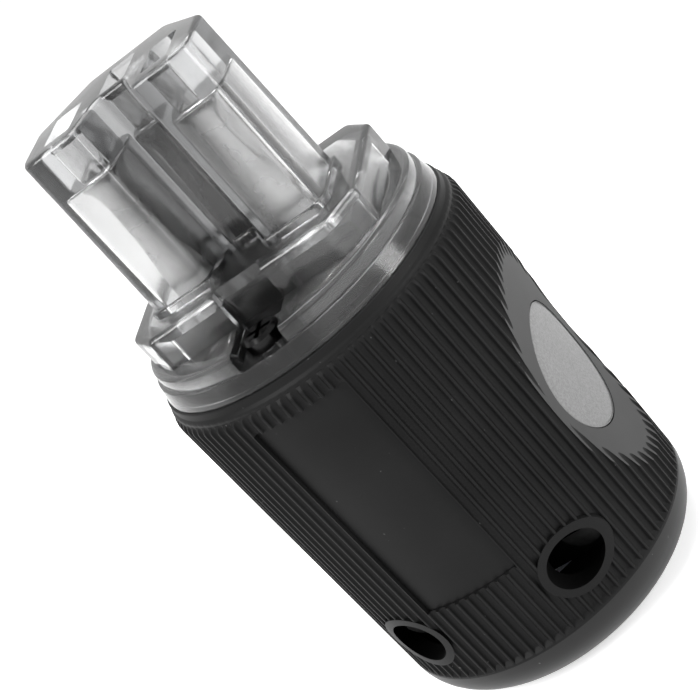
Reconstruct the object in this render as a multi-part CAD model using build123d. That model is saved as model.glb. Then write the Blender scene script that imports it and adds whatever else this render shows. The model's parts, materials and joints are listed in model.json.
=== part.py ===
from build123d import *
import math
import os

# A straight rewireable appliance connector with a three-pole nose.
# It stands on its cable end: Z runs up towards the nose, X along the nose's long side and
# -Y is the side with the bare panel. The origin is the middle of the flat rear end.
# All sizes are in millimetres.

# Cover: fluted shell, from the rear end up
cover_length = 51.7
crest_radius_front = 20.93
crest_radius_rear = 20.45
rear_flat_radius = 13.45
rear_round = 6.2
rear_round_steps = 4
cover_bore_radius = 18.2
cover_flat_wall = 2.3
cover_wide_room_clearance = 0.9
rear_wall = 3.2
ledge_height = 8.8
ledge_radius = 12.6
collar_height = 0.95
collar_radius = 20.1
collar_foot_radius = 20.2
shoulder_height = 2.15

# Flutes between the ribs
rib_count = 92
flute_depth = 0.5
flute_facets = 3
rib_land = 0.34
flute_end_height = 6.6
flute_end_slope = 40.0
flute_end_block = 4.4

# Bare panel on the near side
panel_ribs = 9
panel_depth = 0.62
panel_top = 48.0
panel_bottom = 18.0

# Scooped finger rests on the two sides, each with a round inlay
scoop_radius = 37.4
scoop_height = 25.8
scoop_distance = 17.48
inlay_radius = 8.2
inlay_height = 25.5
inlay_depth = 0.5
inlay_gap = 0.12
inlay_bed = 0.05

# Screwdriver holes to the cable clamp
access_spacing = 22.4
access_height = 13.6
access_radius = 3.15
access_rim = 1.2

# Cable way at the rear
cable_radius = 8.0
cable_edge = 0.6

# Front insulator, clear
ring_two_height = 2.4
ring_two_radius = 19.8
ring_two_taper = 0.45
ring_one_height = 1.9
ring_one_radius = 18.9
ring_one_round = 0.7
block_height = 4.3
block_width = 32.0
block_depth = 24.0
block_corner_x = 3.2
block_corner_y = 3.9
block_round = 0.7
pad_height = 0.9
pad_margin = 0.7
spigot_length = 3.0
spigot_clearance = 0.3
front_wall = 1.9
hollow_wall = 1.9
ring_wall = 1.7
ring_roof = 1.4

# Nose
nose_length = 22.5
nose_width = 24.0
nose_depth = 15.4
nose_chamfer = 6.1
nose_corner = 2.3
nose_chamfer_corner = 1.2
nose_draft = 0.7
nose_rim = 0.6
groove_mouth = 8.5
groove_root = 3.9
groove_reach = 5.4
groove_mouth_round = 0.7
groove_root_round = 1.1
pole_spacing = 14.0
pole_offset = 2.0
slot_width = 3.7
slot_depth = 6.8
slot_lead = 1.4
slot_land = 0.47
slot_inner_width = 2.9
slot_inner_depth = 5.2
face_wall = 5.8
pocket_wall = 1.2
pocket_divider = 1.2
pocket_rise = 2.4

# Front fixing screws, near and far
fixing_radius = 15.3
fixing_shank = 1.45
fixing_head = 2.35
fixing_head_height = 1.7
fixing_drive = 0.6
fixing_drive_arm = 1.7
fixing_drive_depth = 0.9
fixing_head_round = 0.4
fixing_length = 12.5
fixing_clearance = 0.2
notch_width = 6.6
notch_reach = 10.2
boss_radius = 3.3
boss_root = 0.3
boss_gap = 0.2
boss_clearance_depth = 1.0
pillar_wall = 1.3
boss_thread_gap = 0.05

# Terminal carrier, black
carrier_thickness = 3.0
carrier_clearance = 0.25
carrier_window_margin = 0.35
carrier_island_width = 25.2
carrier_island_depth = 15.2
carrier_island_height = 3.0
carrier_fin = 0.8
carrier_fin_drop = 9.6
carrier_fin_near = 8.0
carrier_fin_far = 1.4

# Contacts
sheet = 0.6
contact_width = 4.6
contact_depth = 5.2
contact_pinch = 1.85
contact_lip = 1.0
contact_top_gap = 0.5
contact_base = 2.0
pinch_height = 3.2
terminal_width = 7.6
terminal_depth = 7.0
terminal_height = 8.6
terminal_wall = 2.3
wire_way = 4.2
wire_way_depth = 6.4
terminal_shift_side = 2.0
terminal_shift_near = 1.0
terminal_shift_earth = 2.5
terminal_seat = 0.1

# Terminal screws and pressure plates
terminal_shank = 1.7
terminal_thread_gap = 0.05
terminal_head = 2.6
terminal_head_height = 1.6
terminal_head_gap = 0.4
terminal_drive = 0.7
terminal_screw_rise = 3.2
plate_thickness = 0.8
plate_margin = 0.15

# Cable clamp
jaw_width = 28.8
jaw_depth = 9.2
jaw_height = 9.4
jaw_gap = 3.0
jaw_bore = 8.6
jaw_corner = 1.5
jaw_tooth = 0.5
jaw_seat_facets = 20
jaw_tooth_count = 2
jaw_tooth_gap = 2.4
jaw_seat = 0.1
clamp_shank = 1.7
clamp_head = 2.7
clamp_head_height = 2.0
clamp_drive = 0.8
clamp_clearance = 0.15
nut_across = 5.5
nut_thickness = 2.6
nut_gap = 0.1
stop_rib = 1.6
stop_rib_spacing = 12.0

# How far cutters run past the faces that they open
overcut = 1.0
outside = 2 * crest_radius_front

# Levels worked out from the sizes above
ring_two_top = cover_length + ring_two_height
ring_one_top = ring_two_top + ring_one_height
block_top = ring_one_top + block_height
face_level = block_top + nose_length
collar_foot = cover_length - collar_height
shoulder_foot = collar_foot - shoulder_height
rib_angle = 360.0 / rib_count
spigot_bottom = cover_length - spigot_length
hollow_top = block_top - front_wall
pocket_top = face_level - face_wall
jaw_bottom = ledge_height + jaw_seat
jaw_back = jaw_gap / 2 + jaw_depth
boss_top = spigot_bottom - boss_gap
carrier_seat = ring_one_top - ring_roof
carrier_bottom = carrier_seat - carrier_thickness
contact_top = pocket_top - contact_top_gap
terminal_top = carrier_bottom - terminal_seat
terminal_bottom = terminal_top - terminal_height
cover_wide_room = terminal_bottom - cover_wide_room_clearance
room_half_width = scoop_distance - inlay_depth - cover_flat_wall


def crest_radius(height):
    """Radius of the rib crests at a height."""
    share = (height - rear_round) / (shoulder_foot - rear_round)
    return crest_radius_rear + (crest_radius_front - crest_radius_rear) * share


def upright(radius, bottom, top, x=0.0, y=0.0):
    """Round bar along Z."""
    bar = Cylinder(radius, top - bottom, align=(Align.CENTER, Align.CENTER, Align.MIN))
    return Pos(x, y, bottom) * bar


def block(x_range, y_range, z_range):
    """Box between two corners."""
    size = [abs(pair[1] - pair[0]) for pair in (x_range, y_range, z_range)]
    middle = [(pair[1] + pair[0]) / 2 for pair in (x_range, y_range, z_range)]
    return Pos(*middle) * Box(*size)


def along_y(radius, start, end, x, z):
    """Round bar along Y."""
    bar = Cylinder(radius, end - start, align=(Align.CENTER, Align.CENTER, Align.MIN))
    return Pos(x, start, z) * (Rot(-90, 0, 0) * bar)


def along_x(radius, start, end, y, z):
    """Round bar along X."""
    bar = Cylinder(radius, end - start, align=(Align.CENTER, Align.CENTER, Align.MIN))
    return Pos(start, y, z) * (Rot(0, 90, 0) * bar)


def prism(outline, bottom, top):
    """Flat closed outline in XY raised between two levels."""
    return Pos(0, 0, bottom) * extrude(outline, top - bottom)


def access_x(side):
    return side * access_spacing / 2


# Cover

def cover_skin():
    """Outer form of the cover before the flutes are cut, closed and solid."""
    corners = [(0, 0)]
    for step in range(rear_round_steps + 1):
        turn = math.pi / 2 * step / rear_round_steps
        corners.append((
            rear_flat_radius + (crest_radius_rear - rear_flat_radius) * math.sin(turn),
            rear_round * (1 - math.cos(turn)),
        ))
    corners += [
        (crest_radius_front, shoulder_foot),
        (collar_foot_radius, collar_foot),
        (collar_radius, cover_length),
        (0, cover_length),
    ]
    outline = Polyline(*corners, close=True)
    return revolve(make_face(Plane.XZ * outline), Axis.Z, 360)


def flute_cutter(bottom, top):
    """One round-bottomed flute in flat facets along the drafted crest, with a sloping rear end."""
    half_chord = math.pi * crest_radius_front / rib_count - rib_land / 2
    radius = (half_chord ** 2 + flute_depth ** 2) / (2 * flute_depth)
    half_turn = math.asin(half_chord / radius)
    corners = [(flute_depth, -half_chord)]
    for step in range(flute_facets + 1):
        turn = half_turn * (2 * step / flute_facets - 1)
        corners.append((radius * (1 - math.cos(turn)) - flute_depth, radius * math.sin(turn)))
    corners.append((flute_depth, half_chord))
    profile = make_face(Polyline(*corners, close=True))
    bar = loft(
        [Pos(crest_radius(level), 0, level) * profile for level in (bottom, top)], ruled=True
    )
    ramp = Pos(crest_radius(bottom) - flute_depth, 0, bottom) * (
        Rot(0, -flute_end_slope, 0)
        * Box(
            flute_end_block, flute_end_block, flute_end_block,
            align=(Align.MIN, Align.CENTER, Align.MAX),
        )
    )
    return bar - ramp


def panel_cutter():
    """Curved recess in place of some ribs on the near side."""
    half = math.radians(panel_ribs * rib_angle / 2)
    floor_radius = crest_radius((panel_top + panel_bottom) / 2) - panel_depth
    ring = upright(crest_radius_front + overcut, panel_bottom, panel_top)
    ring -= upright(floor_radius, panel_bottom, panel_top)
    wedge = make_face(
        Polyline(
            (0, 0),
            (-outside * math.sin(half), -outside * math.cos(half)),
            (outside * math.sin(half), -outside * math.cos(half)),
            close=True,
        )
    )
    return ring & prism(wedge, panel_bottom, panel_top)


def scoop_cutter(side, extra=0.0):
    """Long round cutter along Y that hollows one finger rest."""
    centre = side * (scoop_distance + scoop_radius)
    return Pos(centre, 0, scoop_height) * (
        Rot(90, 0, 0) * Cylinder(scoop_radius + extra, 2 * outside)
    )


def inlay_bar(side, radius):
    """Round bar along X through one finger rest."""
    inner = side * (scoop_distance - 2 * inlay_depth)
    outer = side * outside
    return along_x(radius, min(inner, outer), max(inner, outer), 0, inlay_height)


def cover_room():
    """Room inside the cover: round at the front, flat behind the finger rests below."""
    lower = upright(cover_bore_radius, ledge_height, cover_wide_room)
    lower &= block(
        (-room_half_width, room_half_width),
        (-cover_bore_radius, cover_bore_radius),
        (ledge_height, cover_wide_room),
    )
    upper = upright(cover_bore_radius, cover_wide_room, cover_length)
    pocket = upright(ledge_radius, rear_wall, ledge_height)
    way = upright(cable_radius, 0, rear_wall)
    mouth = Cone(
        cable_radius + cable_edge, cable_radius, cable_edge,
        align=(Align.CENTER, Align.CENTER, Align.MIN),
    )
    return lower + upper + pocket + way + mouth


def fixing_y(side):
    return side * fixing_radius


def make_cover():
    skin = cover_skin()
    cutter = flute_cutter(flute_end_height, collar_foot)
    flutes = [Rot(0, 0, (number + 0.5) * rib_angle) * cutter for number in range(rib_count)]
    body = skin - flutes
    body -= panel_cutter()
    wall_depth = math.sqrt(cover_bore_radius ** 2 - (access_spacing / 2) ** 2)
    for side in (-1, 1):
        rim = along_y(
            access_radius + access_rim, -crest_radius_front, -wall_depth,
            access_x(side), access_height,
        )
        body += rim & skin
    for side in (-1, 1):
        body -= scoop_cutter(side)
        body -= inlay_bar(side, inlay_radius + inlay_gap) & scoop_cutter(side, inlay_depth)
    body -= cover_room()
    room_round = upright(cover_bore_radius + boss_root, ledge_height, boss_top)
    for side in (-1, 1):
        boss = upright(boss_radius, ledge_height, boss_top, 0, fixing_y(side)) & room_round
        boss -= upright(
            fixing_shank + boss_thread_gap,
            ring_two_top - fixing_length - boss_clearance_depth,
            boss_top, 0, fixing_y(side),
        )
        body += boss
    for side in (-1, 1):
        stop_x = side * stop_rib_spacing / 2
        stop = block(
            (stop_x - stop_rib / 2, stop_x + stop_rib / 2),
            (jaw_back + jaw_seat, cover_bore_radius),
            (ledge_height, jaw_bottom + jaw_height),
        )
        body += stop & room_round
        body -= along_y(
            access_radius, -crest_radius_front, -jaw_back,
            access_x(side), access_height,
        )
    return body


def make_inlay(side):
    """Thin round inlay that follows the finger rest."""
    disc = inlay_bar(side, inlay_radius) & scoop_cutter(side, inlay_depth - inlay_bed)
    return disc - scoop_cutter(side)


# Front insulator

def nose_outline(grow=0.0, groove_shrink=0.0):
    """Nose seen from the front: two chamfers on the earth side, a groove on the flat side."""
    wide = nose_width / 2 + grow
    deep = nose_depth / 2 + grow
    mouth = groove_mouth / 2 - groove_shrink
    root = groove_root / 2 - groove_shrink
    root_y = -nose_depth / 2 + groove_reach - groove_shrink
    cut = nose_chamfer
    corners = [
        (-wide, -deep), (-mouth, -deep), (-root, root_y), (root, root_y), (mouth, -deep),
        (wide, -deep), (wide, deep - cut), (wide - cut, deep), (cut - wide, deep),
        (-wide, deep - cut),
    ]
    rounds = [nose_corner, groove_mouth_round, groove_root_round, groove_root_round,
              groove_mouth_round, nose_corner] + [nose_chamfer_corner] * 4
    outline = make_face(Polyline(*corners, close=True))
    for corner, radius in zip(corners, rounds):
        spot = outline.vertices().sort_by_distance((corner[0], corner[1], 0))[0]
        outline = fillet(spot, radius)
    return outline


def nose_body():
    """Drafted nose with a broken front edge."""
    grow = nose_length * math.tan(math.radians(nose_draft))
    rim = nose_rim
    main = loft(
        [
            Pos(0, 0, block_top) * nose_outline(grow, 0),
            Pos(0, 0, face_level - rim) * nose_outline(0, 0),
        ],
        ruled=True,
    )
    lip = loft(
        [
            Pos(0, 0, face_level - rim) * nose_outline(0, 0),
            Pos(0, 0, face_level) * nose_outline(-rim, -rim),
        ],
        ruled=True,
    )
    return main + lip


def block_outline(inset=0.0):
    """Plan of the block: a rectangle with its four corners cut."""
    wide = block_width / 2 - inset
    deep = block_depth / 2 - inset
    cut_x = block_corner_x
    cut_y = block_corner_y
    return make_face(
        Polyline(
            (wide - cut_x, -deep), (wide, -deep + cut_y), (wide, deep - cut_y),
            (wide - cut_x, deep), (cut_x - wide, deep), (-wide, deep - cut_y),
            (-wide, -deep + cut_y), (cut_x - wide, -deep), close=True,
        )
    )


def front_rings():
    """Stepped round flange with its spigot, turned about Z."""
    spigot = cover_bore_radius - spigot_clearance
    outline = Polyline(
        (0, spigot_bottom),
        (spigot, spigot_bottom),
        (spigot, cover_length),
        (ring_two_radius, cover_length),
        (ring_two_radius - ring_two_taper, ring_two_top),
        (ring_one_radius, ring_two_top),
        (ring_one_radius, ring_one_top - ring_one_round),
        (ring_one_radius - ring_one_round, ring_one_top),
        (0, ring_one_top),
        (0, spigot_bottom),
    )
    return revolve(make_face(Plane.XZ * outline), Axis.Z, 360)


def pole_pocket(side):
    """Room in the nose behind the front wall for a side contact."""
    wide = nose_width / 2 - pocket_wall
    deep = nose_depth / 2 - pocket_wall
    diagonal = nose_width / 2 + nose_depth / 2 - nose_chamfer - pocket_wall * math.sqrt(2)
    top_y = deep - nose_chamfer + pocket_rise
    inner_near = groove_mouth / 2 + pocket_divider - groove_mouth_round
    inner_far = contact_width / 2 + carrier_window_margin + pocket_divider
    corners = [
        (inner_near, -deep), (wide, -deep), (wide, diagonal - wide),
        (diagonal - top_y, top_y), (inner_far, top_y),
        (inner_far, -nose_depth / 2 + groove_reach + pocket_divider / 2),
    ]
    outline = make_face(Polyline(*[(side * x, y) for x, y in corners], close=True))
    return prism(outline, hollow_top - overcut, pocket_top)


def earth_pocket():
    """Room in the nose behind the front wall for the earth contact."""
    half = contact_width / 2 + carrier_window_margin
    near = -nose_depth / 2 + groove_reach + pocket_wall
    far = nose_depth / 2 - pocket_wall
    return block((-half, half), (near, far), (hollow_top - overcut, pocket_top))


def pole_places():
    """Middle of each pin, with the side that its contact's web faces."""
    half = pole_spacing / 2
    return {
        "line": (-half, -pole_offset, -1),
        "neutral": (half, -pole_offset, -1),
        "earth": (0.0, pole_offset, 1),
    }


def pin_slot(x, y):
    """Pin opening through the front wall, wider at the face."""
    inner = prism(
        Pos(x, y) * Rectangle(slot_inner_width, slot_inner_depth), pocket_top - overcut, face_level
    )
    lead = loft(
        [
            Pos(x, y, face_level - slot_lead) * Rectangle(slot_inner_width, slot_inner_depth),
            Pos(x, y, face_level - slot_land) * Rectangle(slot_width, slot_depth),
        ],
        ruled=True,
    )
    mouth = prism(
        Pos(x, y) * Rectangle(slot_width, slot_depth), face_level - slot_land, face_level + overcut
    )
    return inner + lead + mouth


def make_front_insulator():
    plate = prism(block_outline(), ring_one_top - ring_roof, block_top)
    plate = fillet(plate.faces().sort_by(Axis.Z)[-1].edges(), block_round)
    pad = prism(nose_outline(pad_margin, pad_margin / 2), block_top, block_top + pad_height)
    body = front_rings() + plate + nose_body() + pad

    half_notch = notch_width / 2
    half_pillar = half_notch + pillar_wall
    bore = cover_bore_radius - spigot_clearance - ring_wall
    hollow = upright(bore, spigot_bottom, carrier_seat)
    hollow += prism(block_outline(hollow_wall), carrier_seat, hollow_top)
    for side in (-1, 1):
        near = side * (notch_reach - hollow_wall)
        far = side * outside
        hollow -= block((-half_pillar, half_pillar), (near, far), (spigot_bottom, hollow_top))
    body -= hollow
    for side in (-1, 1):
        body -= pole_pocket(side)
        near = side * notch_reach
        far = side * outside
        body -= block((-half_notch, half_notch), (near, far), (ring_two_top, block_top + pad_height))
        body -= upright(
            fixing_shank + fixing_clearance, spigot_bottom, ring_two_top, 0, fixing_y(side)
        )
    body -= earth_pocket()
    for x, y, _ in pole_places().values():
        body -= pin_slot(x, y)
    return body


# Terminal carrier

def contact_window(x, y, facing, bottom, top):
    """Opening that a contact passes through, with its running room."""
    half = contact_width / 2 + carrier_window_margin
    reach = contact_depth / 2 + carrier_window_margin
    middle = y + facing * sheet / 2
    return block((x - half, x + half), (middle - reach, middle + reach), (bottom, top))


def make_terminal_carrier():
    """Round plate with a raised island round the contacts and fins between the terminals."""
    outer = cover_bore_radius - spigot_clearance - ring_wall - carrier_clearance
    half_pillar = notch_width / 2 + pillar_wall + carrier_clearance
    pillar_near = notch_reach - hollow_wall - carrier_clearance
    body = upright(outer, carrier_bottom, carrier_seat)
    body += block(
        (-carrier_island_width / 2, carrier_island_width / 2),
        (-carrier_island_depth / 2, carrier_island_depth / 2),
        (carrier_bottom, carrier_seat + carrier_island_height),
    )
    for side in (-1, 1):
        fin_x = side * (terminal_width + carrier_fin + 2 * terminal_head_gap) / 2
        body += block(
            (fin_x - carrier_fin / 2, fin_x + carrier_fin / 2),
            (-carrier_fin_near, carrier_fin_far),
            (carrier_bottom - carrier_fin_drop, carrier_bottom),
        )
        body -= block(
            (-half_pillar, half_pillar),
            (side * pillar_near, side * outside),
            (carrier_bottom - carrier_fin_drop, carrier_seat + carrier_island_height),
        )
    for x, y, facing in pole_places().values():
        body -= contact_window(
            x, y, facing, terminal_top, carrier_seat + carrier_island_height
        )
    return body


# Contacts

def contact_socket(x, y, facing):
    """Folded sheet socket: a web and two sprung leaves that pinch the pin and flare at the lips."""
    half = contact_width / 2
    pinch = contact_pinch / 2
    lip = contact_lip
    top = contact_top
    base = carrier_seat + sheet
    outer = [
        (half, base), (half, base + contact_base), (pinch + sheet, top - pinch_height),
        (pinch + sheet + lip, top),
    ]
    inner = [
        (pinch + lip, top), (pinch, top - pinch_height), (half - sheet, base + contact_base),
        (half - sheet, base),
    ]
    leaf = Plane.XZ * make_face(Polyline(*outer, *inner, close=True))
    width = contact_depth - sheet
    far_edge = y + facing * (sheet / 2 + contact_depth / 2 - sheet)
    near_edge = far_edge - facing * width
    leaves = extrude(leaf, width, dir=(0, 1, 0))
    leaves = Pos(x, min(near_edge, far_edge), 0) * (leaves + mirror(leaves, Plane.YZ))
    web = block(
        (x - half, x + half), (far_edge, far_edge + facing * sheet),
        (terminal_top, top - pinch_height),
    )
    floor = block((x - half, x + half), (near_edge, far_edge), (base - sheet, base))
    return leaves + web + floor


def terminal_place(name):
    """Middle of a terminal block and the way that its screw points."""
    x, y, _ = pole_places()[name]
    if name == "earth":
        return x, y + terminal_shift_earth, 1
    side = 1 if x > 0 else -1
    return x + side * terminal_shift_side, y - terminal_shift_near, side


def screw_height():
    return terminal_bottom + terminal_screw_rise


def wire_way_range(x, side):
    """Reach of the wire way along X, measured from the threaded wall."""
    outer = x + side * (terminal_width / 2 - terminal_wall)
    return outer, outer - side * wire_way


def make_contact(name):
    x, y, facing = pole_places()[name]
    middle_x, middle_y, side = terminal_place(name)
    half_wide = terminal_width / 2
    half_deep = terminal_depth / 2
    terminal = block(
        (middle_x - half_wide, middle_x + half_wide),
        (middle_y - half_deep, middle_y + half_deep),
        (terminal_bottom, terminal_top),
    )
    terminal = chamfer(terminal.edges().filter_by(Axis.Z), sheet)
    outer, inner = wire_way_range(middle_x, side)
    terminal -= block(
        (min(outer, inner), max(outer, inner)),
        (middle_y - wire_way / 2, middle_y + wire_way / 2),
        (terminal_bottom, terminal_bottom + wire_way_depth),
    )
    face = middle_x + side * half_wide
    terminal -= along_x(
        terminal_shank + terminal_thread_gap, min(outer, face), max(outer, face),
        middle_y, screw_height(),
    )
    return terminal + contact_socket(x, y, facing)


def make_terminal_screw(name):
    """Cheese-head screw with a slot, its tip on the pressure plate."""
    middle_x, middle_y, side = terminal_place(name)
    outer, _ = wire_way_range(middle_x, side)
    tip = outer - side * plate_margin
    seat = middle_x + side * (terminal_width / 2 + terminal_head_gap)
    top = seat + side * terminal_head_height
    level = screw_height()
    screw = along_x(terminal_shank, min(tip, seat), max(tip, seat), middle_y, level)
    screw += along_x(terminal_head, min(seat, top), max(seat, top), middle_y, level)
    floor = top - side * terminal_drive
    return screw - block(
        (min(floor, top), max(floor, top)),
        (middle_y - terminal_head, middle_y + terminal_head),
        (level - terminal_drive / 2, level + terminal_drive / 2),
    )


def make_pressure_plate(name):
    """Loose plate in the wire way that the screw presses on the conductor."""
    middle_x, middle_y, side = terminal_place(name)
    outer, _ = wire_way_range(middle_x, side)
    back = outer - side * plate_margin
    front = back - side * plate_thickness
    half = wire_way / 2 - plate_margin
    return block(
        (min(back, front), max(back, front)), (middle_y - half, middle_y + half),
        (terminal_bottom + plate_margin, terminal_bottom + wire_way_depth - plate_margin),
    )


# Front fixing screws

def make_fixing_screw(side):
    y = fixing_y(side)
    head_top = ring_two_top + fixing_head_height
    screw = upright(fixing_shank, ring_two_top - fixing_length, ring_two_top, 0, y)
    head = upright(fixing_head, ring_two_top, head_top, 0, y)
    screw += chamfer(head.edges().sort_by(Axis.Z)[-1], fixing_head_round)
    half = fixing_drive / 2
    for long_x, long_y in ((fixing_drive_arm, half), (half, fixing_drive_arm)):
        screw -= block(
            (-long_x, long_x), (y - long_y, y + long_y),
            (head_top - fixing_drive_depth, head_top),
        )
    return screw


# Cable clamp

def jaw_seat_cutter(radius, bottom, top):
    """Faceted round opening for the cable between the jaws."""
    return prism(RegularPolygon(radius, jaw_seat_facets), bottom, top)


def make_jaw(side):
    """Clamp jaw with a toothed half-round seat for the cable; the far one holds the nuts."""
    half = jaw_width / 2
    near = side * jaw_gap / 2
    back = side * jaw_back
    top = jaw_bottom + jaw_height
    jaw = block((-half, half), (near, back), (jaw_bottom, top))
    back_edges = jaw.edges().filter_by(Axis.Z).sort_by(Axis.Y)
    back_edges = back_edges[-2:] if side > 0 else back_edges[:2]
    jaw = chamfer(back_edges, jaw_corner)
    jaw -= jaw_seat_cutter(jaw_bore, jaw_bottom, top)
    pitch = jaw_height / jaw_tooth_count
    for number in range(jaw_tooth_count):
        low = jaw_bottom + number * pitch + (pitch - jaw_tooth_gap) / 2
        jaw -= jaw_seat_cutter(jaw_bore + jaw_tooth, low, low + jaw_tooth_gap)
    for hole_side in (-1, 1):
        x = access_x(hole_side)
        jaw -= along_y(
            clamp_shank + clamp_clearance, min(near, back), max(near, back), x, access_height
        )
        if side > 0:
            pocket = RegularPolygon(nut_across / 2 + nut_gap, 6, major_radius=False)
            pocket = Plane(origin=(x, back, access_height), z_dir=(0, -1, 0)) * pocket
            jaw -= extrude(pocket, nut_thickness)
    return jaw


def make_clamp_screw(side):
    """Screw across the cable way, its slotted head behind an access hole."""
    x = access_x(side)
    seat = -jaw_back
    top = seat - clamp_head_height
    screw = along_y(clamp_shank, seat, jaw_back + clamp_drive, x, access_height)
    screw += along_y(clamp_head, top, seat, x, access_height)
    return screw - block(
        (x - clamp_head, x + clamp_head), (top, top + clamp_drive),
        (access_height - clamp_drive / 2, access_height + clamp_drive / 2),
    )


def make_clamp_nut(side):
    x = access_x(side)
    shape = RegularPolygon(nut_across / 2, 6, major_radius=False)
    shape -= Circle(clamp_shank + nut_gap / 2)
    return extrude(Plane(origin=(x, jaw_back, access_height), z_dir=(0, -1, 0)) * shape, nut_thickness)


def all_pieces():
    """Every piece of the connector by its node name."""
    pieces = {
        "cover": make_cover(),
        "front_insulator": make_front_insulator(),
        "terminal_carrier": make_terminal_carrier(),
        "clamp_saddle": make_jaw(-1),
        "clamp_base": make_jaw(1),
    }
    for name in pole_places():
        pieces[name + "_contact"] = make_contact(name)
        pieces[name + "_terminal_screw"] = make_terminal_screw(name)
        pieces[name + "_pressure_plate"] = make_pressure_plate(name)
    for word, side in (("near", -1), ("far", 1)):
        pieces[word + "_fixing_screw"] = make_fixing_screw(side)
    for word, side in (("left", -1), ("right", 1)):
        pieces[word + "_clamp_screw"] = make_clamp_screw(side)
        pieces[word + "_clamp_nut"] = make_clamp_nut(side)
        pieces[word + "_inlay"] = make_inlay(side)
    return pieces


os.makedirs("parts", exist_ok=True)
for node, shape in all_pieces().items():
    export_step(shape, "parts/" + node + ".step")
    print(node, round(shape.volume, 1))
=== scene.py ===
import json
import math

import bmesh
import bpy
from mathutils import Matrix, Vector


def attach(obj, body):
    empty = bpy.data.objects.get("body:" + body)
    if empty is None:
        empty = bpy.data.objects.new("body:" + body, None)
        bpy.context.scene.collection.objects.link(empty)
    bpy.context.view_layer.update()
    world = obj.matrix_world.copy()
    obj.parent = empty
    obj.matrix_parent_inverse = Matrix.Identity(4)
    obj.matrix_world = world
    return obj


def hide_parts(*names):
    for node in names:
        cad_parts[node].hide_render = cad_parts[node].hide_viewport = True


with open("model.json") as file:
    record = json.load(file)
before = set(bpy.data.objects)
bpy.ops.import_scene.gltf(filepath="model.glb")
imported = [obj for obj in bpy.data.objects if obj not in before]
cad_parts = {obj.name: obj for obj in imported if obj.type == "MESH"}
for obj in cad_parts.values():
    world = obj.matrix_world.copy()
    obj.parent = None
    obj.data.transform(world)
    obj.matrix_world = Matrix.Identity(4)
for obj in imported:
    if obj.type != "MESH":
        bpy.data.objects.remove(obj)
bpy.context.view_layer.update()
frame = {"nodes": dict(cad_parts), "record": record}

nodes = frame["nodes"]
mm = 0.001


# camera and lights, set from the photograph's view
view = {
    "place": (0.08459, -0.18292, 0.12038),
    "right": (0.77237, 0.08957, -0.62883),
    "up": (0.49803, 0.52905, 0.68707),
    "back": (0.39422, -0.84385, 0.36401),
    "lens": 96.75,
    "sensor": 36,
}
lamps = {
    "keyLamp": {"place": (-0.25, -0.35, 0.42), "aim": (0, 0, 0.04), "size": (0.30, 0.30), "power": 3.2},
    "sideLamp": {"place": (0.48, -0.10, 0.20), "aim": (0, 0, 0.04), "size": (0.16, 0.40), "power": 1.6},
    "topLamp": {"place": (0.05, 0.15, 0.50), "aim": (0, 0, 0.05), "size": (0.35, 0.35), "power": 2.0},
}


def addCamera():
    data = bpy.data.cameras.new("camera")
    data.sensor_width = view["sensor"]
    data.lens = view["lens"]
    camera = bpy.data.objects.new("camera", data)
    bpy.context.collection.objects.link(camera)
    turn = Matrix((view["right"], view["up"], view["back"])).transposed().to_4x4()
    camera.matrix_world = Matrix.Translation(view["place"]) @ turn
    bpy.context.scene.camera = camera


def addLamp(name, place, aim, size, power):
    data = bpy.data.lights.new(name, "AREA")
    data.shape = "RECTANGLE"
    data.size, data.size_y = size
    data.energy = power
    lamp = bpy.data.objects.new(name, data)
    bpy.context.collection.objects.link(lamp)
    lamp.location = place
    lamp.rotation_euler = (Vector(place) - Vector(aim)).to_track_quat("Z", "Y").to_euler()


addCamera()
for lampName, lampFacts in lamps.items():
    addLamp(lampName, **lampFacts)
bpy.context.scene.view_settings.view_transform = "Standard"
print("camera and lamps are set")


# shader maths as plain expressions
class Sock:
    def __init__(self, paint, link):
        self.paint, self.link = paint, link

    def join(self, operation, other, swap=False):
        pair = (other, self) if swap else (self, other)
        return self.paint.node("ShaderNodeMath", {"operation": operation}, {0: pair[0], 1: pair[1]})

    def __add__(self, other):
        return self.join("ADD", other)

    def __radd__(self, other):
        return self.join("ADD", other, True)

    def __sub__(self, other):
        return self.join("SUBTRACT", other)

    def __rsub__(self, other):
        return self.join("SUBTRACT", other, True)

    def __mul__(self, other):
        return self.join("MULTIPLY", other)

    def __rmul__(self, other):
        return self.join("MULTIPLY", other, True)

    def __gt__(self, other):
        return self.join("GREATER_THAN", other)

    def __lt__(self, other):
        return self.join("LESS_THAN", other)


mixSockets = {"factor": 0, "first": 6, "second": 7, "result": 2}  # the colour ones of a Mix node


class Wiring:
    def __init__(self, tree):
        self.tree = tree

    def node(self, kind, settings=None, inputs=None, out=0):
        made = self.tree.nodes.new(kind)
        for key, value in (settings or {}).items():
            if key == "stops":
                for stop, (place, shade) in zip(made.color_ramp.elements, value):
                    stop.position = place
                    stop.color = (shade, shade, shade, 1)
            else:
                setattr(made, key, value)
        for key, value in (inputs or {}).items():
            self.feed(made.inputs[key], value)
        return Sock(self, made.outputs[out])

    def feed(self, socket, value):
        if isinstance(value, Sock):
            self.tree.links.new(value.link, socket)
        else:
            socket.default_value = value

    def rays(self):
        return [self.node("ShaderNodeLightPath", out=kind)
                for kind in ("Is Camera Ray", "Is Glossy Ray", "Is Transmission Ray")]


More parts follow.
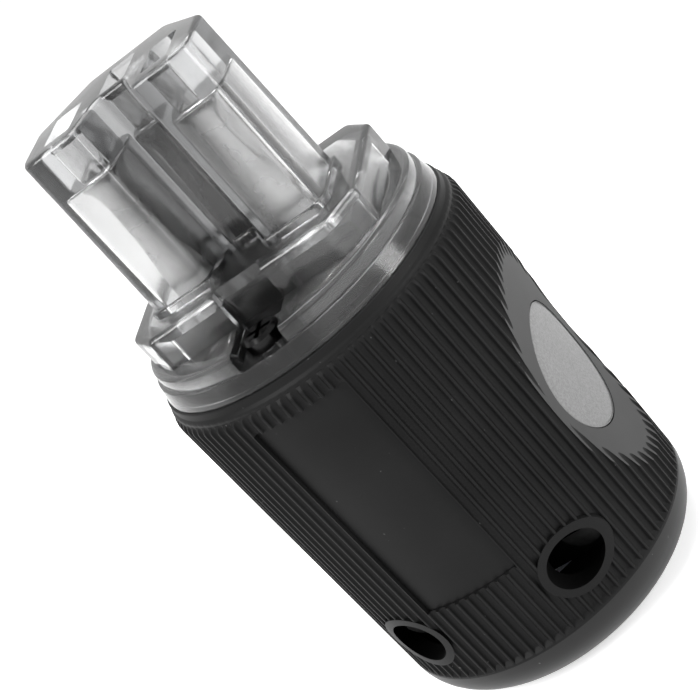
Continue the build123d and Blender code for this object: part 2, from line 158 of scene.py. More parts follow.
class Paint(Wiring):
    def __init__(self, name):
        self.material = bpy.data.materials.new(name)
        self.material.use_nodes = True
        super().__init__(self.material.node_tree)
        self.shader = self.tree.nodes["Principled BSDF"]
        self.output = self.tree.nodes["Material Output"]

    def set(self, values):
        for key, value in values.items():
            self.feed(self.shader.inputs[key], value)

    def place(self):
        return self.node("ShaderNodeTexCoord", out="Object")

    def axes(self):
        split = self.node("ShaderNodeSeparateXYZ", None, {0: self.place()})
        return [Sock(self, socket) for socket in split.link.node.outputs]

    def noise(self, scale, detail):
        return self.node("ShaderNodeTexNoise", None, {
            "Vector": self.place(), "Scale": scale, "Detail": detail,
        })

    def grey(self, factor, first, second, start=0.3, end=0.7):
        return self.node("ShaderNodeValToRGB", {"stops": [(start, first), (end, second)]}, {"Fac": factor})

    def tone(self, mask, first, second):
        tones = [shade if isinstance(shade, Sock) else (shade, shade, shade, 1) for shade in (first, second)]
        return self.node("ShaderNodeMix", {"data_type": "RGBA"}, {
            mixSockets["factor"]: mask, mixSockets["first"]: tones[0], mixSockets["second"]: tones[1],
        }, mixSockets["result"])

    def plain(self, operation, value):
        return self.node("ShaderNodeMath", {"operation": operation}, {0: value})

    def span(self, vector):
        return self.node("ShaderNodeVectorMath", {"operation": "LENGTH"}, {0: vector}, "Value")

    def bump(self, height, strength, distance):
        return self.node("ShaderNodeBump", None, {
            "Height": height, "Strength": strength, "Distance": distance * mm,
        })


# finger rests and access holes in mm, shared by the grip, its finish and the inlays
rest = {
    "radius": 58.6, "height": 25.72, "distance": 18.49, "crown": 66.5, "reach": 20.0, "steps": 60,
    "width": 16, "far": 40, "bedRadius": 8.27, "bedHeight": 25.58, "bedDepth": 0.5, "bedFrom": 15,
}
access = {
    "x": 11.04, "z": 13.14, "radius": 3.2, "to": 10.7, "rim": 4.2, "rimTo": 13.5, "proud": 0.04,
    "outside": 25, "skinTop": 45, "skinFrom": 14,
}
ribCount = 92
coverTurn = -math.pi / ribCount  # panel, rests and holes lie half a rib off the middle


# finishes: noise as scale and detail, bump as strength and depth in mm
coverFinish = {
    # deep is the painted shade of the access-hole walls
    "cloud": (60, 4), "grain": (2600, 2), "bump": (0.12, 0.02), "dark": 0.005, "light": 0.009,
    "rough": 0.48, "waver": 0.12, "shine": 0.1, "margin": 0.03, "deep": 0.0006,
    "speck": (1500, 1), "dustSpan": (0.79, 0.82), "dustShare": 0.12, "dustTone": 0.5,
    # painted sheen: the finger rests' two greys are paler to stand in for the light they catch
    "restSheenDark": 0.055, "restSheenLight": 0.072, "restRough": 0.66,
    "dome": 6.3, "domeCoat": 0.35, "domeRough": 0.35,
}


def coverPaint():
    look = coverFinish
    paint = Paint("coverBlack")
    cloud = paint.noise(*look["cloud"])
    grain = paint.noise(*look["grain"])
    dust = paint.grey(paint.noise(*look["speck"]), 0.0, 1.0, *look["dustSpan"])
    x, y, z = paint.axes()
    ahead, side = math.cos(coverTurn), math.sin(coverTurn)
    outward = paint.plain("ABSOLUTE", x * ahead + y * side)
    along = y * ahead - x * side
    # the finger rests have a matt skin; their paler colour is painted sheen, standing in for the light they
    # catch
    crown = along * along * (0.5 / (rest["crown"] * mm))
    across = outward + crown - (rest["distance"] + rest["radius"]) * mm
    upward = z - rest["height"] * mm
    reach = paint.plain("SQRT", across * across + upward * upward)
    restMattAndSheen = paint.plain("ABSOLUTE", reach - rest["radius"] * mm) < look["margin"] * mm
    # painted shade: the walls of the access holes are painted near black, standing in for the shade deep
    # inside them
    aside, above = outward - access["x"] * mm, z - access["z"] * mm
    hole = paint.plain("SQRT", aside * aside + above * above)
    deep = (hole < (access["radius"] + look["margin"]) * mm) * (along < 0)
    shade = paint.grey(cloud, look["dark"], look["light"])
    restSheen = paint.grey(cloud, look["restSheenDark"], look["restSheenLight"])
    skin = paint.tone(dust * look["dustShare"], paint.tone(restMattAndSheen, shade, restSheen), look["dustTone"])
    rough = cloud * look["waver"] + (look["rough"] - look["waver"] / 2)
    paint.set({
        "Base Color": paint.tone(deep, skin, look["deep"]),
        "Roughness": rough + restMattAndSheen * (look["restRough"] - look["rough"]),
        "Specular IOR Level": look["shine"],
        "Normal": paint.bump(grain, *look["bump"]),
        "Coat Weight": (z < look["dome"] * mm) * look["domeCoat"],
        "Coat Roughness": look["domeRough"],
    })
    return paint.material


inlayFinish = {
    "flake": 5200, "fine": (3200, 2), "bump": (0.25, 0.02), "dark": 0.135, "light": 0.19,
    "metal": 0.2, "rough": 0.38, "waver": 0.25,
}


def inlayPaint():
    look = inlayFinish
    paint = Paint("inlayGrey")
    flake = paint.node("ShaderNodeTexVoronoi", None, {
        "Vector": paint.place(), "Scale": look["flake"],
    }, "Color")
    level = paint.node("ShaderNodeSeparateColor", None, {"Color": flake}, "Red")
    paint.set({
        "Base Color": paint.grey(level, look["dark"], look["light"], 0.0, 1.0),
        "Metallic": look["metal"],
        "Roughness": paint.noise(*look["fine"]) * look["waver"] + look["rough"],
        "Normal": paint.bump(level, *look["bump"]),
    })
    return paint.material


clearFinish = {
    "cloud": (90, 3), "haze": 0.05, "swell": (160, 2), "bump": (0.02, 0.05), "rough": 0.13, "waver": 0.05,
    "through": 0.972, "ior": 1.45, "smoke": (0.5, 0.505, 0.51, 1), "density": 160,
    "foot": 0.92, "nose": 0.77, "noseFrom": 60.8,
    # middle is the painted shade grey towards the middle of the nose
    "middle": 0.36, "middleShadeScale": 100, "middleShadeSpan": (0.48, 0.74),
}


def clearPaint():
    look = clearFinish
    paint = Paint("frontClear")
    cloud = paint.noise(*look["cloud"])
    x, _, z = paint.axes()
    # painted shade: the clear grey darkens towards the middle along the groove, standing in for the dark of
    # the thick nose; the ramp spans 10 mm from the middle
    outward = paint.plain("ABSOLUTE", x) * look["middleShadeScale"]
    middle = paint.grey(outward, 1.0, 0.0, *look["middleShadeSpan"])
    foot, upper = (paint.grey(cloud, level, level + look["haze"]) for level in (look["foot"], look["nose"]))
    paint.set({
        "Base Color": paint.tone(middle, paint.tone(z > look["noseFrom"] * mm, foot, upper), look["middle"]),
        "Roughness": cloud * look["waver"] + look["rough"],
        "IOR": look["ior"],
        "Transmission Weight": look["through"],
        "Normal": paint.bump(paint.noise(*look["swell"]), *look["bump"]),
    })
    smoke = paint.node("ShaderNodeVolumeAbsorption", None, {
        "Color": look["smoke"], "Density": look["density"],
    })
    paint.feed(paint.output.inputs["Volume"], smoke)
    return paint.material


plainFinish = {
    "innerBlack": {
        "cloud": (140, 3), "fine": (2200, 2), "bump": (0.1, 0.02), "dark": 0.003, "light": 0.006,
        "metal": 0.0, "rough": 0.4, "waver": 0.1, "shine": 0.12,
    },
    "contactPlated": {
        "cloud": (260, 3), "fine": (1400, 2), "bump": (0.06, 0.02), "dark": 0.36, "light": 0.52,
        "metal": 1.0, "rough": 0.2, "waver": 0.16, "shine": 0.5,
    },
    "screwSteel": {
        "cloud": (700, 3), "fine": (3000, 2), "bump": (0.08, 0.01), "dark": 0.015, "light": 0.03,
        "metal": 1.0, "rough": 0.34, "waver": 0.15, "shine": 0.5,
    },
    "screwDark": {
        "cloud": (700, 3), "fine": (3000, 2), "bump": (0.08, 0.01), "dark": 0.012, "light": 0.02,
        "metal": 1.0, "rough": 0.14, "waver": 0.15, "shine": 0.5,
    },
}


def plainPaint(name):
    look = plainFinish[name]
    paint = Paint(name)
    cloud = paint.noise(*look["cloud"])
    paint.set({
        "Base Color": paint.grey(cloud, look["dark"], look["light"]),
        "Metallic": look["metal"],
        "Roughness": cloud * look["waver"] + look["rough"],
        "Specular IOR Level": look["shine"],
        "Normal": paint.bump(paint.noise(*look["fine"]), *look["bump"]),
    })
    return paint.material


paints = {
    "cover_black": coverPaint(),
    "inlay_grey": inlayPaint(),
    "front_clear": clearPaint(),
    "inner_black": plainPaint("innerBlack"),
    "contact_plated": plainPaint("contactPlated"),
    "screw_steel": plainPaint("screwSteel"),
    "screw_dark": plainPaint("screwDark"),
}
for part in frame["record"]["subparts"]:
    mesh = nodes[part["node"]].data
    mesh.materials.clear()
    mesh.materials.append(paints[part["material_slot"]])
print("materials are on the solids")


# helpers for solids in millimetres: skins through loops, carved by one another
shaping = {"over": 30, "slots": 24, "weld": 0.002, "crisp": 35, "contactWeld": 0.001}


def circle(radius, z, steps):
    return [(radius * math.cos(turn), radius * math.sin(turn), z)
            for turn in (2 * math.pi * step / steps for step in range(steps))]


def rectangle(x0, x1, y0, y1, z):
    return [(x0, y0, z), (x1, y0, z), (x1, y1, z), (x0, y1, z)]


def rounded(corners, radii, z, steps=6):
    loop = []
    for index, (corner, radius) in enumerate(zip(corners, radii)):
        here = Vector(corner)
        back = (Vector(corners[index - 1]) - here).normalized()
        ahead = (Vector(corners[(index + 1) % len(corners)]) - here).normalized()
        half = back.angle(ahead) / 2
        middle = here + (back + ahead).normalized() * (radius / math.sin(half))
        start, end = here + back * (radius / math.tan(half)), here + ahead * (radius / math.tan(half))
        first = math.atan2(start.y - middle.y, start.x - middle.x)
        sweep = math.atan2(end.y - middle.y, end.x - middle.x) - first
        sweep = (sweep + math.pi) % (2 * math.pi) - math.pi
        for step in range(steps + 1):
            turn = first + sweep * step / steps
            loop.append((middle.x + radius * math.cos(turn), middle.y + radius * math.sin(turn), z))
    return loop


def easing(size, steps=5):
    for step in range(steps + 1):
        turn = math.pi / 2 * step / steps
        yield size * (1 - math.cos(turn)), size * (1 - math.sin(turn))


def asPiece(name, mesh):
    piece = bpy.data.objects.new(name, mesh)
    bpy.context.collection.objects.link(piece)
    return piece


def stack(name, loops, turn=Matrix.Identity(4)):
    count = len(loops[0])
    points = [turn @ (Vector(point) * mm) for loop in loops for point in loop]
    last = (len(loops) - 1) * count
    faces = [tuple(range(count)), tuple(range(last, last + count))]
    for row in range(0, last, count):
        for side in range(count):
            beside = (side + 1) % count
            faces.append((row + side, row + beside, row + count + beside, row + count + side))
    mesh = bpy.data.meshes.new(name)
    mesh.from_pydata(points, [], faces)
    shape = bmesh.new()
    shape.from_mesh(mesh)
    bmesh.ops.recalc_face_normals(shape, faces=shape.faces)
    shape.to_mesh(mesh)
    shape.free()
    return asPiece(name, mesh)


def slab(x0, x1, y0, y1, z0, z1):
    return stack("slab", [rectangle(x0, x1, y0, y1, z) for z in (z0, z1)])


def upright(radius, z0, z1, y=0, steps=64):
    return stack("upright", [circle(radius, z, steps) for z in (z0, z1)], Matrix.Translation((0, y * mm, 0)))


def alongY(radius, y0, y1, x, z, steps=64):
    turn = Matrix.Translation((x * mm, 0, z * mm)) @ Matrix.Rotation(math.radians(-90), 4, "X")
    return stack("rod", [circle(radius, y, steps) for y in (y0, y1)], turn)


def alongX(radius, x0, x1, z, steps=96):
    turn = Matrix.Translation((0, 0, z * mm)) @ Matrix.Rotation(math.radians(90), 4, "Y")
    return stack("rod", [circle(radius, x, steps) for x in (x0, x1)], turn)


def outwardFrom(side, inner):
    return sorted((side * inner, side * shaping["over"]))


def settle(piece):
    graph = bpy.context.evaluated_depsgraph_get()
    mesh = bpy.data.meshes.new_from_object(piece.evaluated_get(graph))
    piece.modifiers.clear()
    piece.data = mesh
    return piece


def carve(piece, tool, how="DIFFERENCE"):
    for mesh in (piece.data, tool.data):
        while len(mesh.materials) < shaping["slots"]:
            mesh.materials.append(None)
    mark = 1 + max(face.material_index for face in piece.data.polygons)  # tells the cut faces from the rest
    for face in tool.data.polygons:
        face.material_index += mark
    step = piece.modifiers.new("carve", "BOOLEAN")
    step.operation, step.solver, step.object = how, "EXACT", tool
    settle(piece)
    bpy.data.objects.remove(tool)
    return piece


def add(piece, tool):
    return carve(piece, tool, "UNION")


def finish(piece, paint, node, crisp=shaping["crisp"]):
    mesh = piece.data
    shape = bmesh.new()
    shape.from_mesh(mesh)
    bmesh.ops.remove_doubles(shape, verts=shape.verts, dist=shaping["weld"] * mm)
    for face in shape.faces:
        face.smooth = True
    for edge in shape.edges:  # cut edges and real corners stay crisp
        sides = edge.link_faces
        edge.smooth = len(sides) == 2 and sides[0].material_index == sides[1].material_index \
            and edge.calc_face_angle(0) < math.radians(crisp)
    for face in shape.faces:
        face.material_index = 0
    shape.to_mesh(mesh)
    shape.free()
    mesh.materials.clear()
    mesh.materials.append(paint)
    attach(piece, "root")
    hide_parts(node)
    print(piece.name, len(mesh.polygons))


# grip: one rib's strip, repeated all round and then carved
grip = {
    "rearFlat": 13.45, "rearRadius": 20.45, "frontRadius": 20.93, "round": 6.2, "roundSteps": 12,
    "shoulder": 48.6, "length": 51.7, "fluteEnd": 6.6, "fluteSlope": 40, "runSteps": 7, "weld": 0.004,
    "flute": [(0, 0), (0.08, 0.006), (0.14, 0.035), (0.18, 0.11), (0.225, 0.25), (0.32, 0.39),
              (0.47, 0.475), (0.7147, 0.5)],
    "front": [(20.93, 48.9), (20.9, 49.15), (20.81, 49.45), (20.66, 49.7), (20.5, 49.88), (20.43, 49.98),
              (20.47, 50.08), (20.5, 50.22), (20.47, 50.4), (20.36, 50.58), (20.21, 50.7), (20.13, 50.84),
              (20.11, 51.45), (20.05, 51.62), (19.9, 51.7)],
    "rows": [7.6, 12, 18, 24, 30, 36, 42, 46, 48.6],
}
panel = {"ribs": 9, "depth": 0.62, "bottom": 17.4, "top": 47.5, "outside": 23, "steps": 16}
room = {
    "bore": 18.2, "half": 14.68, "wide": 42.0, "ledge": 8.8, "pocket": 12.6, "rear": 3.2,
    "way": 8.0, "wayEdge": 0.6, "lap": 0.5, "past": 1,
    "bossY": 15.3, "boss": 3.3, "bossTop": 48.5, "bossHole": 1.5, "holeFrom": 40.6, "holeTo": 60,
    "stopX": 6.0, "stop": 1.6, "stopY": 10.8, "stopTop": 18.3,
    "steps": 128, "waySteps": 96, "holeSteps": 32,
}


def crestRadius(z):
    share = (z - grip["round"]) / (grip["shoulder"] - grip["round"])
    return grip["rearRadius"] + (grip["frontRadius"] - grip["rearRadius"]) * share


def gripRows():
    rows = [(0, 0, 0), (grip["rearFlat"], 0, 0)]
    reach = grip["rearRadius"] - grip["rearFlat"]
    for step in range(1, grip["roundSteps"] + 1):
        turn = math.pi / 2 * step / grip["roundSteps"]
        rows.append((grip["rearFlat"] + reach * math.sin(turn), grip["round"] * (1 - math.cos(turn)), 0))
    slope = math.tan(math.radians(grip["fluteSlope"]))
    deepest = grip["flute"][-1][1]
    for step in range(grip["runSteps"] + 1):
        z = grip["fluteEnd"] + step * deepest / slope / grip["runSteps"]
        rows.append((crestRadius(z), z, (z - grip["fluteEnd"]) * slope))
    rows += [(crestRadius(z), z, 1) for z in grip["rows"]]
    rows += [(radius, z, 1) for radius, z in grip["front"]]
    return rows + [(0, grip["length"], 0)]


def ribStrip():
    half = [(width / grip["frontRadius"], depth) for width, depth in grip["flute"]]
    columns = [(-angle, depth) for angle, depth in half[:0:-1]] + half
    points, faces = [], []
    rows = gripRows()
    for radius, z, limit in rows:  # the limit lets the flute run out at its rear end
        for angle, depth in columns:
            cut = crestRadius(z) - min(depth, limit)
            reach = min(radius, cut) if limit else radius
            points.append((reach * math.cos(angle) * mm, reach * math.sin(angle) * mm, z * mm))
    wide = len(columns)
    for row in range(len(rows) - 1):
        for side in range(wide - 1):
            first = row * wide + side
            faces.append((first, first + 1, first + wide + 1, first + wide))
    mesh = bpy.data.meshes.new("ribStrip")
    mesh.from_pydata(points, [], faces)
    return asPiece("grip", mesh)


def ringTree(paint):
    tree = bpy.data.node_groups.new("ribRing", "GeometryNodeTree")
    face = tree.interface
    face.new_socket("Geometry", in_out="INPUT", socket_type="NodeSocketGeometry")
    ribs = face.new_socket("Ribs", in_out="INPUT", socket_type="NodeSocketInt")
    weld = face.new_socket("Weld", in_out="INPUT", socket_type="NodeSocketFloat")
    face.new_socket("Geometry", in_out="OUTPUT", socket_type="NodeSocketGeometry")
    start, line, index, share, turn, swing, each, real, merge, coat, end = (tree.nodes.new(kind) for kind in (
        "NodeGroupInput", "GeometryNodeMeshLine", "GeometryNodeInputIndex", "ShaderNodeMath",
        "ShaderNodeMath", "FunctionNodeAxisAngleToRotation", "GeometryNodeInstanceOnPoints",
        "GeometryNodeRealizeInstances", "GeometryNodeMergeByDistance", "GeometryNodeSetMaterial",
        "NodeGroupOutput",
    ))
    line.inputs["Offset"].default_value = (0, 0, 0)
    share.operation, turn.operation = "DIVIDE", "MULTIPLY"
    turn.inputs[1].default_value = 2 * math.pi
    swing.inputs["Axis"].default_value = (0, 0, 1)
    coat.inputs["Material"].default_value = paint
    for source, target in (
        (start.outputs["Ribs"], line.inputs["Count"]), (index.outputs[0], share.inputs[0]),
        (start.outputs["Ribs"], share.inputs[1]), (share.outputs[0], turn.inputs[0]),
        (turn.outputs[0], swing.inputs["Angle"]), (swing.outputs[0], each.inputs["Rotation"]),
        (line.outputs[0], each.inputs["Points"]), (start.outputs["Geometry"], each.inputs["Instance"]),
        (each.outputs[0], real.inputs[0]), (real.outputs[0], merge.inputs["Geometry"]),
        (start.outputs["Weld"], merge.inputs["Distance"]), (merge.outputs[0], coat.inputs["Geometry"]),
        (coat.outputs[0], end.inputs[0]),
    ):
        tree.links.new(source, target)
    return tree, ribs.identifier, weld.identifier


def makeRibbedSkin():
    piece = ribStrip()
    tree, ribs, weld = ringTree(paints["cover_black"])
    ring = piece.modifiers.new("ribRing", "NODES")
    ring.node_group = tree
    ring[ribs] = ribCount
    ring[weld] = grip["weld"] * mm
    settle(piece)
    shape = bmesh.new()
    shape.from_mesh(piece.data)
    bmesh.ops.recalc_face_normals(shape, faces=shape.faces)
    shape.to_mesh(piece.data)
    shape.free()
    return piece


def restCutter(side, extra=0):
    radius, half = rest["radius"] + extra, math.radians(rest["reach"])
    turns = [half * (2 * step / rest["steps"] - 1) for step in range(rest["steps"] + 1)]
    loops = []
    for y in (-rest["far"], *range(-rest["width"], rest["width"] + 1), rest["far"]):
        centre = rest["distance"] + rest["radius"] - y * y / (2 * rest["crown"])
        line = [(centre - radius * math.cos(turn), radius * math.sin(turn)) for turn in turns]
        line += [(centre, radius * math.sin(half)), (centre, -radius * math.sin(half))]
        loops.append([(side * x, y, rest["height"] + z) for x, z in line])
    return stack("rest", loops)


def panelCutter():
    half, outside = math.pi * panel["ribs"] / ribCount, panel["outside"]
    turns = [-math.pi / 2 - half + 2 * half * step / panel["steps"] for step in range(panel["steps"] + 1)]
    loops = []
    for z in (panel["bottom"], panel["top"]):
        floor = crestRadius(z) - panel["depth"]
        inner = [(floor * math.cos(turn), floor * math.sin(turn), z) for turn in turns]
        outer = [(outside * math.cos(turn), outside * math.sin(turn), z) for turn in reversed(turns)]
        loops.append(inner + outer)
    return stack("panel", loops)


def roomCutter():
    over = shaping["over"]
    space = upright(room["bore"], room["ledge"], grip["length"] + room["past"], steps=room["steps"])
    for side in (-1, 1):
        carve(space, slab(*outwardFrom(side, room["half"]), -over, over, 0, room["wide"]))
        place = side * room["bossY"]
        boss = upright(room["boss"], 0, room["bossTop"], place)
        carve(boss, upright(room["bossHole"], room["holeFrom"], room["holeTo"], place, room["holeSteps"]))
        carve(space, boss)
        x, half = side * room["stopX"], room["stop"] / 2
        carve(space, slab(x - half, x + half, room["stopY"], over, 0, room["stopTop"]))
    add(space, upright(room["pocket"], room["rear"], room["ledge"] + room["lap"], steps=room["waySteps"]))
    loops = [circle(room["way"] + edge, z, room["waySteps"]) for edge, z in (
        (room["wayEdge"] + room["past"], -room["past"]), (room["wayEdge"], 0), (0, room["wayEdge"]),
        (0, room["rear"] + room["lap"]),
    )]
    return add(space, stack("way", loops))


def turned(tool):
    tool.data.transform(Matrix.Rotation(coverTurn, 4, "Z"))
    return tool


def accessRod(side, radius, depth):
    return alongY(radius, -access["outside"], -depth, side * access["x"], access["z"])


def makeGrip():
    piece = makeRibbedSkin()
    carve(piece, turned(panelCutter()))
    rows = [(radius + access["proud"], z) for radius, z, _ in gripRows()
            if 0 < z < access["skinTop"] and radius > access["skinFrom"]]
    for side in (-1, 1):  # a smooth rim round each access hole
        skin = stack("skin", [circle(radius, z, 2 * ribCount) for radius, z in rows])
        carve(skin, accessRod(side, access["rim"], access["rimTo"]), "INTERSECT")
        add(piece, turned(skin))
    for side in (-1, 1):
        hollow = restCutter(side)
        bed = alongX(rest["bedRadius"], *outwardFrom(side, rest["bedFrom"]), rest["bedHeight"])
        carve(bed, restCutter(side, rest["bedDepth"]), "INTERSECT")
        for tool in (hollow, bed):
            carve(piece, turned(tool))
    carve(piece, roomCutter())
    for side in (-1, 1):
        carve(piece, turned(accessRod(side, access["radius"], access["to"])))
    finish(piece, paints["cover_black"], "cover")


makeGrip()
print("grip is made")


# clear front: rings, block and nose with rounded edges, hollow behind the front wall
clear = {
    "rings": [(17.9, 48.7), (17.9, 51.7), (19.68, 51.7), (19.77, 51.75), (19.8, 51.85), (19.42, 53.85),
              (19.36, 53.99), (19.22, 54.08), (19.05, 54.1), (18.96, 54.13), (18.9, 54.22), (18.9, 55.3),
              (18.85, 55.57), (18.69, 55.8), (18.47, 55.95), (18.2, 56.0)],
    "bore": 16.2, "bottom": 48.7, "seat": 54.6, "hollowTop": 58.4, "hollowWall": 1.9, "hollowCorner": 1.0,
    "blockTop": 60.3, "blockX": 16.0, "blockY": 12.0, "cutX": 3.2, "cutY": 3.9, "blockRound": 0.7,
    "corner": 0.8, "padTop": 61.2, "pad": 0.7, "padRound": 0.35,
    "notch": 3.3, "notchY": 10.2, "notchFrom": 54.1, "notchRound": 0.9, "pillar": 4.6, "pillarY": 8.3,
    "screwHole": 1.65, "screwTo": 60, "screwSteps": 48, "below": 40, "above": 70, "lap": 0.5, "past": 1,
    "ringSteps": 192, "boreSteps": 128, "crisp": 24,
}
nose = {
    "x": 12.0, "y": 7.7, "cut": 6.1, "top": 82.8, "draft": 0.7, "rim": 0.6, "mouth": 4.25, "root": 1.95,
    "reach": 5.4, "rounds": [2.3, 0.7, 1.1, 1.1, 0.7, 2.3, 1.2, 1.2, 1.2, 1.2],
    "pins": [(-7, -2), (7, -2), (0, 2)], "slot": (1.85, 3.4), "inner": (1.45, 2.6), "lead": 1.4, "land": 0.47,
    "pinRound": 0.35, "pinSteps": 4, "pocketTop": 77.0, "pocketRound": 0.5, "pocketDraft": 0.15,
    "sidePocket": [(4.75, -6.5), (10.8, -6.5), (10.8, 1.1), (9.1, 2.8), (3.85, 2.8), (3.85, -1.7)],
    "sideRound": 0.7, "earthPocket": [(-2.65, -1.1), (2.65, -1.1), (2.65, 6.5), (-2.65, 6.5)],
    "earthRound": 0.6,
}


def noseLoop(grow, z, groove=0.0):
    x, y = nose["x"] + grow, nose["y"] + grow
    mouth, root, cut = nose["mouth"] - groove, nose["root"] - groove, nose["cut"]
    rootY = nose["reach"] - nose["y"] - groove
    corners = [(-x, -y), (-mouth, -y), (-root, rootY), (root, rootY), (mouth, -y), (x, -y), (x, y - cut),
               (x - cut, y), (cut - x, y), (-x, y - cut)]
    return rounded(corners, nose["rounds"], z)


def blockLoop(inset, z, corner):
    x, y, a, b = clear["blockX"] - inset, clear["blockY"] - inset, clear["cutX"], clear["cutY"]
    corners = [(x - a, -y), (x, b - y), (x, y - b), (x - a, y),
               (a - x, y), (-x, y - b), (-x, b - y), (a - x, -y)]
    return rounded(corners, [corner] * 8, z)


def pocketCutter(corners, radius):
    radii = [radius] * len(corners)
    loops = [rounded(corners, radii, clear["hollowTop"] - clear["past"])]
    middle = Vector((sum(x for x, _ in corners), sum(y for _, y in corners), 0)) / len(corners)
    for inset, drop in easing(nose["pocketRound"]):
        loops.append([tuple(Vector(p) + (middle - Vector((p[0], p[1], 0))).normalized()
                            * (inset + nose["pocketDraft"]))
                      for p in rounded(corners, radii, nose["pocketTop"] - drop)])
    return stack("pocket", loops)


def pinCutter(x, y):
    inner, slot, top = nose["inner"], nose["slot"], nose["top"]
    loops = []
    for (wide, deep), z in ((inner, nose["pocketTop"] - clear["past"]), (inner, top - nose["lead"]),
                            (slot, top - nose["land"]), (slot, top + clear["past"])):
        corners = [(x - wide, y - deep), (x + wide, y - deep), (x + wide, y + deep), (x - wide, y + deep)]
        loops.append(rounded(corners, [nose["pinRound"]] * 4, z, nose["pinSteps"]))
    return stack("pin", loops)


def makeFront():
    piece = stack("clearFront", [circle(radius, z, clear["ringSteps"]) for radius, z in clear["rings"]])
    loops = [blockLoop(0, clear["seat"], clear["corner"])]
    loops += [blockLoop(inset, clear["blockTop"] - drop, clear["corner"])
              for inset, drop in easing(clear["blockRound"])]
    add(piece, stack("block", loops))
    loops = [noseLoop(clear["pad"], clear["blockTop"] - clear["lap"], clear["pad"] / 2)]
    loops += [noseLoop(clear["pad"] - inset, clear["padTop"] - drop, clear["pad"] / 2 - inset)
              for inset, drop in easing(clear["padRound"])]
    add(piece, stack("pad", loops))
    grow = (nose["top"] - clear["blockTop"] + clear["past"]) * math.tan(math.radians(nose["draft"]))
    loops = [noseLoop(grow, clear["blockTop"] - clear["past"])]
    loops += [noseLoop(-inset, nose["top"] - drop, -inset) for inset, drop in easing(nose["rim"])]
    add(piece, stack("nose", loops))
    hollow = upright(clear["bore"], clear["bottom"] - clear["past"], clear["seat"], steps=clear["boreSteps"])
    add(hollow, stack("hollow", [blockLoop(clear["hollowWall"], z, clear["hollowCorner"])
                                 for z in (clear["seat"] - clear["lap"], clear["hollowTop"])]))
    for side in (-1, 1):  # pillars for the two screws
        carve(hollow, slab(-clear["pillar"], clear["pillar"], *outwardFrom(side, clear["pillarY"]),
                           clear["below"], clear["above"]))
    carve(piece, hollow)
    for side in (-1, 1):
        carve(piece, pocketCutter([(side * x, y) for x, y in nose["sidePocket"]][::side], nose["sideRound"]))
        y0, y1 = outwardFrom(side, clear["notchY"])
        half = clear["notch"]
        corners = [(-half, y0), (half, y0), (half, y1), (-half, y1)]
        carve(piece, stack("notch", [rounded(corners, [clear["notchRound"]] * 4, z)
                                     for z in (clear["notchFrom"], clear["above"])]))
        carve(piece, upright(clear["screwHole"], clear["below"], clear["screwTo"], side * room["bossY"],
                             clear["screwSteps"]))
    carve(piece, pocketCutter(nose["earthPocket"], nose["earthRound"]))
    for place in nose["pins"]:
        carve(piece, pinCutter(*place))
    finish(piece, paints["front_clear"], "front_insulator", clear["crisp"])


makeFront()
print("clear front is made")


# contacts: two sprung leaves and a waisted plate towards the wall, on the terminal block
contact = {
    "cut": 56.0, "cutTo": 80, "around": 4, "sheet": 0.6, "depth": 4.6,
    "leaf": [(2.0, 55.3), (2.0, 57.4), (1.93, 58.6), (1.7, 63.0), (1.42, 68.5), (1.22, 72.4), (1.2, 73.3),
             (1.27, 74.1), (1.55, 75.2), (2.15, 76.5)],
    "plate": [(76.5, 1.95), (76.2, 2.15), (75.8, 2.0), (75.2, 1.6), (74.3, 1.35), (72.5, 1.28), (70.0, 1.42),
              (67.0, 1.75), (64.0, 2.2), (61.0, 2.5), (58.0, 2.62), (55.3, 2.65)],
    "plateSheet": 0.4, "plateOff": 0.2, "bow": 0.35, "flare": 0.7, "flareFrom": 74.6, "across": 12,
}


def leafLoop(x, side, y):
    half = contact["sheet"] / 2
    outer = [(x + side * (reach + half), z, -y) for reach, z in contact["leaf"]]
    inner = [(x + side * (reach - half), z, -y) for reach, z in reversed(contact["leaf"])]
    return outer + inner


def makePlate(x, y, facing):
    top, flareFrom = contact["plate"][0][0], contact["flareFrom"]
    spots = [-1 + 2 * step / contact["across"] for step in range(contact["across"] + 1)]
    loops = []
    for z, half in contact["plate"]:
        out = contact["flare"] * max(0, (z - flareFrom) / (top - flareFrom)) ** 2
        row = []
        for skin, line in ((0, spots), (contact["plateSheet"], spots[::-1])):
            for spot in line:
                bow = contact["bow"] * (1 - spot * spot)
                row.append((x + spot * half, y + facing * (out + bow - skin), z))
        loops.append(row)
    return stack("plate", loops)


def makeContact(name, node, x, y, facing):
    shape = bmesh.new()
    shape.from_mesh(nodes[node].data)
    bmesh.ops.remove_doubles(shape, verts=shape.verts, dist=shaping["contactWeld"] * mm)
    mesh = bpy.data.meshes.new(name)
    shape.to_mesh(mesh)
    shape.free()
    mesh.materials.clear()
    piece = asPiece(name, mesh)
    around = contact["around"]  # the plain contact above the terminal makes way
    carve(piece, slab(x - around, x + around, y - around, y + around, contact["cut"], contact["cutTo"]))
    turn = Matrix.Rotation(math.radians(90), 4, "X")
    far = y + facing * (contact["depth"] / 2)
    near = far - facing * contact["depth"]
    for side in (-1, 1):
        add(piece, stack("leaf", [leafLoop(x, side, level) for level in (near, far)], turn))
    add(piece, makePlate(x, far + facing * contact["plateOff"], facing))
    finish(piece, paints["contact_plated"], node)


for name, node, (x, y), facing in (
    ("lineContact", "line_contact", nose["pins"][0], -1),
    ("neutralContact", "neutral_contact", nose["pins"][1], -1),
    ("earthContact", "earth_contact", nose["pins"][2], 1),
):
    makeContact(name, node, x, y, facing)
print("contacts are made")


# inlays: thin discs that follow the finger rests
inlay = {
    "radius": 8.15, "depth": 0.45, "round": 0.12, "roundSteps": 4, "rings": 12, "flat": 0.97, "steps": 96,
}


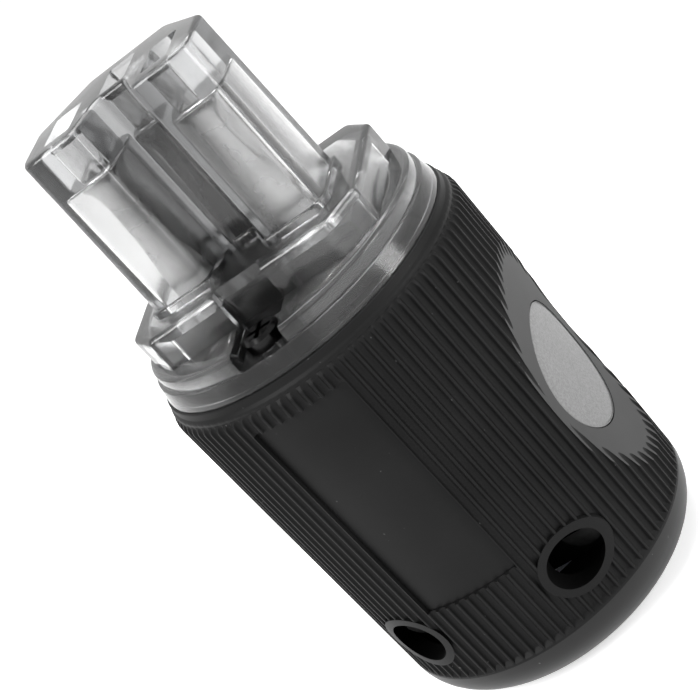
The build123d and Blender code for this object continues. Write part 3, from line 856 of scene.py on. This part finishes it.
def makeInlay(side, name, node):
    def place(radius, turn, depth):
        y, z = radius * math.cos(turn), rest["bedHeight"] + radius * math.sin(turn)
        bow = math.sqrt((rest["radius"] + depth) ** 2 - (z - rest["height"]) ** 2)
        crown = y * y / (2 * rest["crown"])
        return side * (rest["distance"] + rest["radius"] - bow - crown), y, z

    rows = [(inlay["radius"] * step / inlay["rings"] * inlay["flat"], 0) for step in range(1, inlay["rings"])]
    edge = reversed(list(easing(inlay["round"], inlay["roundSteps"])))
    rows += [(inlay["radius"] - inset, drop) for drop, inset in edge]
    rows += [(inlay["radius"], inlay["depth"]), (inlay["radius"] / 2, inlay["depth"])]
    turns = [2 * math.pi * step / inlay["steps"] for step in range(inlay["steps"])]
    loops = [[place(radius, turn, depth) for turn in turns] for radius, depth in rows]
    piece = stack(name, loops, Matrix.Rotation(coverTurn, 4, "Z"))
    finish(piece, paints["inlay_grey"], node)


makeInlay(-1, "leftInlay", "left_inlay")
makeInlay(1, "rightInlay", "right_inlay")
print("inlays are made")


# floor and background: white to the camera, dimmer as a source of light
# the floor's dark disc under the grip is a painted shadow
stage = {"half": 1.6, "shade": 0.8, "rough": 0.9, "lift": 0.6, "shadowRadius": 13.3, "lit": 0.4, "shown": 1.0}


def addFloor():
    half, shade = stage["half"], stage["shade"]
    mesh = bpy.data.meshes.new("floor")
    corners = [(-half, -half, 0), (half, -half, 0), (half, half, 0), (-half, half, 0)]
    mesh.from_pydata(corners, [], [(0, 1, 2, 3)])
    floor = asPiece("floor", mesh)
    paint = Paint("floorWhite")
    seen, mirrored, through = paint.rays()
    around = paint.span(paint.place()) > stage["shadowRadius"] * mm  # painted shadow: the floor's glow is off in a disc where the grip stands
    paint.set({
        "Base Color": (shade, shade, shade, 1), "Roughness": stage["rough"],
        "Emission Color": paint.tone(around, 0.0, 1.0),
        "Emission Strength": (seen + mirrored + through) * stage["lift"],
    })
    mesh.materials.append(paint.material)


def addWorld():
    world = bpy.data.worlds.new("studio")
    bpy.context.scene.world = world
    world.use_nodes = True
    sky = Wiring(world.node_tree)
    sky.tree.nodes.remove(sky.tree.nodes["Background"])
    seen, mirrored, through = sky.rays()
    either = sky.node("ShaderNodeMath", {"operation": "MAXIMUM"}, {0: seen, 1: through})
    anyRay = sky.node("ShaderNodeMath", {"operation": "MAXIMUM"}, {0: either, 1: mirrored})
    lit, shown = (sky.node("ShaderNodeBackground", None, {"Color": (1, 1, 1, 1), "Strength": strength})
                  for strength in (stage["lit"], stage["shown"]))
    mix = sky.node("ShaderNodeMixShader", None, {0: anyRay, 1: lit, 2: shown})
    sky.feed(sky.tree.nodes["World Output"].inputs["Surface"], mix)


addFloor()
addWorld()
print("floor and background are set")
